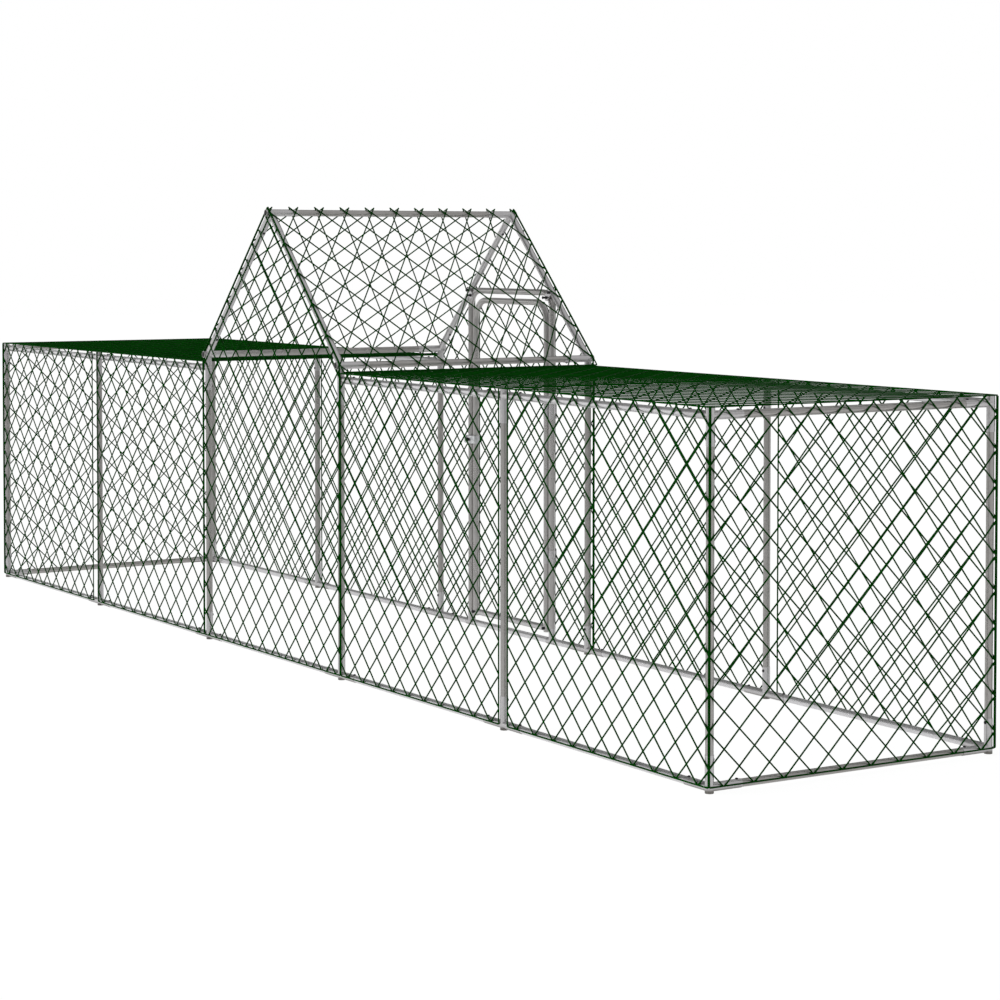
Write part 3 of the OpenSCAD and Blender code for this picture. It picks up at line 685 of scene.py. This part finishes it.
floor_bm = bmesh.new()
bmesh.ops.create_grid(floor_bm, x_segments=1, y_segments=1, size=FLOOR_HALF)
bmesh.ops.translate(floor_bm, verts=floor_bm.verts, vec=(0, 0, -FLOOR_DROP))
floor_mesh = bpy.data.meshes.new("studio_floor")
floor_bm.to_mesh(floor_mesh)
floor_bm.free()
floor = bpy.data.objects.new("studio_floor", floor_mesh)
bpy.context.scene.collection.objects.link(floor)
floor_paint, floor_tree, floor_shader = new_material("studio_white")
floor_shader.inputs["Base Color"].default_value = FLOOR_TONE
floor_shader.inputs["Roughness"].default_value = FLOOR_ROUGHNESS
floor_shader.inputs["Specular IOR Level"].default_value = 0.0
glow = floor_tree.nodes.new("ShaderNodeEmission")
glow.inputs["Color"].default_value = WHITE
glow.inputs["Strength"].default_value = FLOOR_GLOW
floor_surface = shader_mix(floor_tree, ray_share(floor_tree, FLOOR_SHARES), floor_shader.outputs["BSDF"],
                           glow.outputs["Emission"])
floor_tree.links.new(floor_surface, floor_tree.nodes["Material Output"].inputs["Surface"])
floor_mesh.materials.append(floor_paint)


# Light: in reflections a white wall low on the left and a weaker light overhead, elsewhere a dim ceiling

WALL_SIDE = Vector((-0.75, 0.0, -0.66)).normalized()
WALL_EDGE = (0.38, 0.56)
LIGHT_SIDE = Vector((0.45, 0.3, 0.84)).normalized()
LIGHT_EDGE = (0.2, 0.85)
LIGHT_TONE = 0.55
ROOM_TONE = 0.15
UP = Vector((0, 0, 1))
CEILING_EDGE = (0.2, 0.6)
CEILING_TONE = 0.3
AMBIENT = 0.3
REFLECTING = {"Is Glossy Ray": 1.0, "Is Transmission Ray": 1.0}
SEEING = {"Is Camera Ray": 1.0}


def direction_ramp(tree, side, edge, low, high):
    """A grey that goes from low to high as the ray turns towards one side."""
    ray = tree.nodes.new("ShaderNodeTexCoord")
    turn = tree.nodes.new("ShaderNodeVectorMath")
    turn.operation = "DOT_PRODUCT"
    turn.inputs[1].default_value = side
    tree.links.new(ray.outputs["Generated"], turn.inputs[0])
    return ramp(tree, turn.outputs["Value"], (edge[0], (low,) * 3), (edge[1], (high,) * 3))


def background(tree, strength, colour=None):
    node = tree.nodes.new("ShaderNodeBackground")
    node.inputs["Strength"].default_value = strength
    node.inputs["Color"].default_value = WHITE
    if colour is not None:
        tree.links.new(colour, node.inputs["Color"])
    return node.outputs["Background"]


def soft_sun(name, towards, strength, spread_deg):
    lamp = bpy.data.lights.new(name, "SUN")
    lamp.energy = strength
    lamp.angle = math.radians(spread_deg)
    sun = bpy.data.objects.new(name, lamp)
    sun.rotation_euler = Vector(towards).to_track_quat("-Z", "Y").to_euler()
    sun.visible_glossy = False
    bpy.context.scene.collection.objects.link(sun)


world = bpy.data.worlds.new("studio")
bpy.context.scene.world = world
world.use_nodes = True
sky = world.node_tree
wall = direction_ramp(sky, WALL_SIDE, WALL_EDGE, ROOM_TONE, 1.0)
overhead = direction_ramp(sky, LIGHT_SIDE, LIGHT_EDGE, ROOM_TONE, LIGHT_TONE)
room = background(sky, 1.0, mixed(sky, 1.0, wall, overhead, "LIGHTEN"))
soft = background(sky, AMBIENT, direction_ramp(sky, UP, CEILING_EDGE, 1.0, CEILING_TONE))
reflected = shader_mix(sky, ray_share(sky, REFLECTING), soft, room)
seen = shader_mix(sky, ray_share(sky, SEEING), reflected, background(sky, 1.0))
sky.links.new(seen, sky.nodes["World Output"].inputs["Surface"])

soft_sun("key", towards=(0.45, 0.85, -0.3), strength=2.2, spread_deg=35)
soft_sun("fill", towards=(-0.9, 0.2, -0.3), strength=0.8, spread_deg=60)


# Camera at the photograph's place

CAMERA_AT = Vector((7.66721, -4.3307, 1.41079))
CAMERA_HEADING = math.radians(31.8465)
CAMERA_TILT = math.radians(2.3295)
SENSOR_WIDTH = 36.0
FOCAL_LENGTH = 90.258
FRAME_SHIFT = (0.00103, -0.15163)

level = Vector((-math.cos(CAMERA_HEADING), math.sin(CAMERA_HEADING), 0))
aim = level * math.cos(CAMERA_TILT) - UP * math.sin(CAMERA_TILT)
right_hand = aim.cross(UP).normalized()
upright = right_hand.cross(aim)
lens = bpy.data.cameras.new("photo_camera")
lens.sensor_fit = "HORIZONTAL"
lens.sensor_width = SENSOR_WIDTH
lens.lens = FOCAL_LENGTH
lens.shift_x, lens.shift_y = FRAME_SHIFT
camera = bpy.data.objects.new("photo_camera", lens)
axes = Matrix((right_hand, upright, -aim)).transposed().to_4x4()
camera.matrix_world = Matrix.Translation(CAMERA_AT) @ axes
bpy.context.scene.collection.objects.link(camera)
bpy.context.scene.camera = camera
bpy.context.scene.view_settings.view_transform = "Standard"

bpy.context.view_layer.update()
